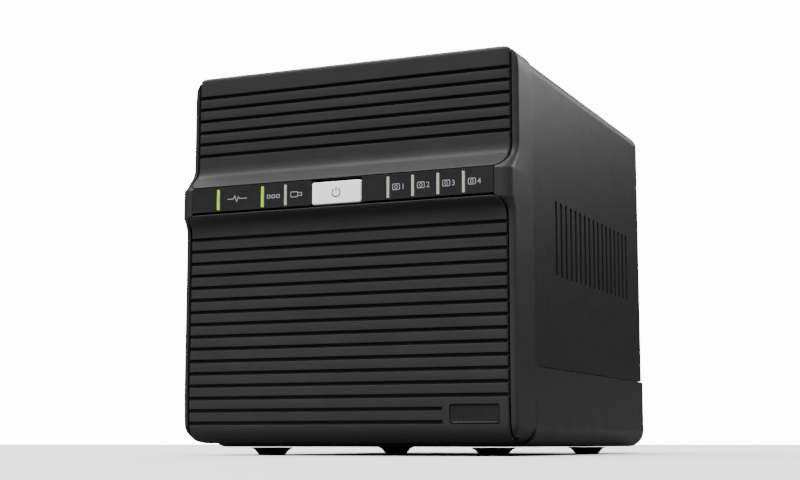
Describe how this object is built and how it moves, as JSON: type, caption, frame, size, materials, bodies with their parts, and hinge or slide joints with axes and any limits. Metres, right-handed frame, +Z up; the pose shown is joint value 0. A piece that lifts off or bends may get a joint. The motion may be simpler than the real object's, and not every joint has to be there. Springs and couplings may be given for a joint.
{
  "type": "network attached storage",
  "caption": "Upright desktop network storage box with a ribbed two-part front, a dark indicator band, internal drive trays and a fold-down fan door at the back.",
  "frame": {"origin": "bottom centre of the whole box, on the surface that the feet stand on", "axes": "+X to the viewer's right when facing the front, +Y from the front to the back, +Z up"},
  "size_m": [0.168, 0.23, 0.184],
  "materials": {
    "shell": "fine moulded texture, satin",
    "cover": "fine textured paint, satin",
    "lens": "smooth dark gloss",
    "light_green": "clear light guide, lit green",
    "light_clear": "clear light guide",
    "button": "satin silver",
    "badge": "dark gloss",
    "rubber": "matt black",
    "steel": "zinc-plated sheet",
    "alloy": "cast and machined alloy",
    "board": "green solder mask",
    "black": "moulded black",
    "cable": "flat grey ribbon",
    "fan": "moulded black, slight sheen"
  },
  "bodies": {
    "chassis": {"front_frame": "shell", "upper_panel": "shell", "lower_panel": "shell", "base_tub": "shell", "rear_frame": "shell", "top_cover": "cover", "indicator_strip_left": "lens", "indicator_strip_right": "lens", "status_light": "light_green", "lan_light": "light_green", "usb_light": "light_clear", "disk_light_1": "light_clear", "disk_light_2": "light_clear", "disk_light_3": "light_clear", "disk_light_4": "light_clear", "badge_plate": "badge", "foot_front_left": "rubber", "foot_front_right": "rubber", "foot_rear_left": "rubber", "foot_rear_right": "rubber", "cage_left_side": "steel", "cage_right_side": "steel", "cage_top": "steel", "hinge_pin_left": "steel", "hinge_pin_right": "steel", "clock_battery": "steel", "lan_socket": "steel", "usb_socket_upper": "steel", "usb_socket_lower": "steel", "heat_sink": "alloy", "front_board": "board", "backplane": "board", "main_board": "board", "power_switch": "black", "processor": "black", "power_socket": "black", "reset_switch": "black", "drive_connector_1": "black", "drive_connector_2": "black", "drive_connector_3": "black", "drive_connector_4": "black", "front_cable": "cable"},
    "power_button_body": {"power_button": "button"},
    "reset_button_body": {"reset_button": "black"},
    "door": {"fan_door": "shell", "fan_frame_lower": "fan", "fan_frame_upper": "fan"},
    "rotor_lower": {"fan_rotor_lower": "fan"},
    "rotor_upper": {"fan_rotor_upper": "fan"},
    "screw_left": {"thumb_screw_left": "steel"},
    "screw_right": {"thumb_screw_right": "steel"},
    "drive_carrier_1": {"drive_tray_1": "black", "hard_drive_1": "alloy"},
    "drive_carrier_2": {"drive_tray_2": "black", "hard_drive_2": "alloy"},
    "drive_carrier_3": {"drive_tray_3": "black", "hard_drive_3": "alloy"},
    "drive_carrier_4": {"drive_tray_4": "black", "hard_drive_4": "alloy"}
  },
  "joints": [
    {"name": "power_button_press", "type": "slide", "parent": "chassis", "child": "power_button_body", "axis": [0, 1, 0], "range_m": [0, 0.001], "stiffness_N_per_m": 800},
    {"name": "reset_button_press", "type": "slide", "parent": "chassis", "child": "reset_button_body", "axis": [0, -1, 0], "range_m": [0, 0.0006], "stiffness_N_per_m": 500},
    {"name": "fan_door_hinge", "type": "hinge", "parent": "chassis", "child": "door", "pos_m": [0, 0.1106, 0.013], "axis": [-1, 0, 0], "range_deg": [0, 90]},
    {"name": "fan_rotor_lower_spin", "type": "hinge", "parent": "door", "child": "rotor_lower", "pos_m": [-0.022, 0.0954, 0.0527], "axis": [0, 1, 0], "continuous": true},
    {"name": "fan_rotor_upper_spin", "type": "hinge", "parent": "door", "child": "rotor_upper", "pos_m": [-0.022, 0.0954, 0.1331], "axis": [0, 1, 0], "continuous": true},
    {"name": "thumb_screw_left_turn", "type": "hinge", "parent": "door", "child": "screw_left", "pos_m": [-0.07, 0.1116, 0.1705], "axis": [0, 1, 0], "continuous": true},
    {"name": "thumb_screw_right_turn", "type": "hinge", "parent": "door", "child": "screw_right", "pos_m": [0.026, 0.1116, 0.1705], "axis": [0, 1, 0], "continuous": true},
    {"name": "drive_tray_1_slide", "type": "slide", "parent": "chassis", "child": "drive_carrier_1", "axis": [0, 1, 0], "range_m": [0, 0.012]},
    {"name": "drive_tray_2_slide", "type": "slide", "parent": "chassis", "child": "drive_carrier_2", "axis": [0, 1, 0], "range_m": [0, 0.012]},
    {"name": "drive_tray_3_slide", "type": "slide", "parent": "chassis", "child": "drive_carrier_3", "axis": [0, 1, 0], "range_m": [0, 0.012]},
    {"name": "drive_tray_4_slide", "type": "slide", "parent": "chassis", "child": "drive_carrier_4", "axis": [0, 1, 0], "range_m": [0, 0.012]}
  ]
}
